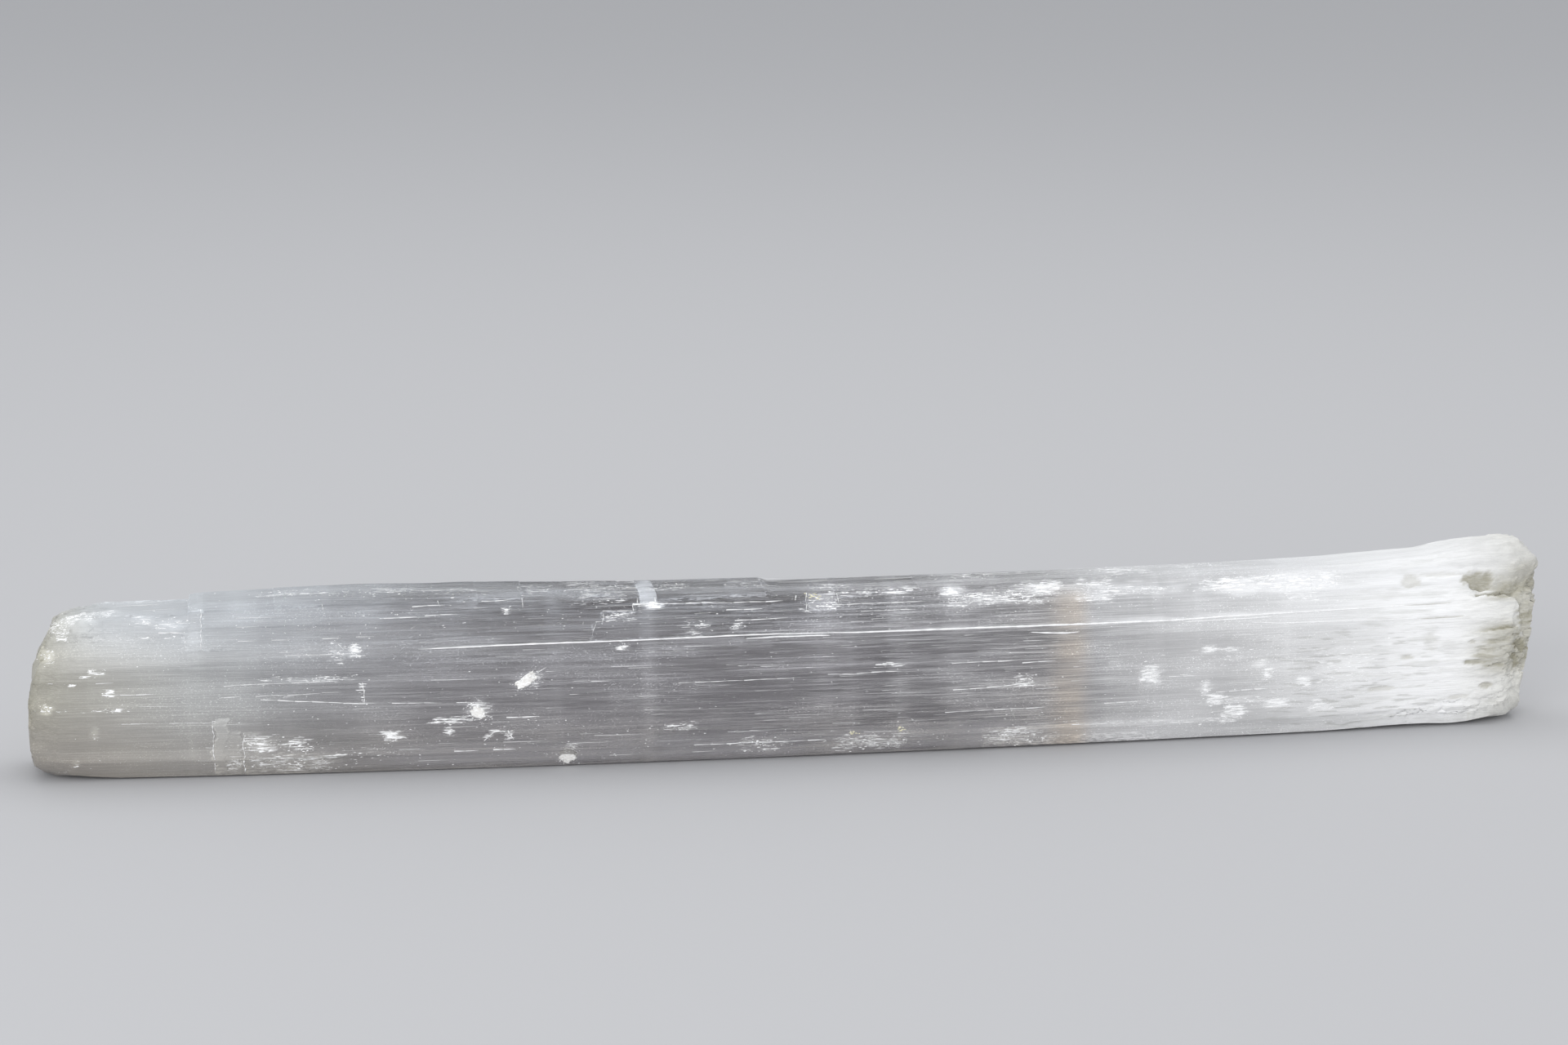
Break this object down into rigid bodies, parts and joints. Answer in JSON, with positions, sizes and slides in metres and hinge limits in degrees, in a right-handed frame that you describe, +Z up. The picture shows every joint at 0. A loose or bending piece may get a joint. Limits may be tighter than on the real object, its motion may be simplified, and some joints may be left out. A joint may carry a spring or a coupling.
{
  "type": "selenite crystal blade",
  "caption": "Long raw blade of fibrous selenite, clear to milky, ribbed along its length, with two broken ends, standing on a narrow flat foot.",
  "frame": {"origin": "on the surface the blade stands on, under the middle of its bounding box", "axes": "+X along the blade from its thin left end to its thick milky right end, +Y through its depth from the wide front face to the back, +Z up"},
  "size_m": [0.4012, 0.0326, 0.0488],
  "materials": {
    "selenite": "translucent, silky along the fibres, milky white at both ends"
  },
  "bodies": {
    "root": {"crystal_blade": "selenite"}
  },
  "joints": []
}
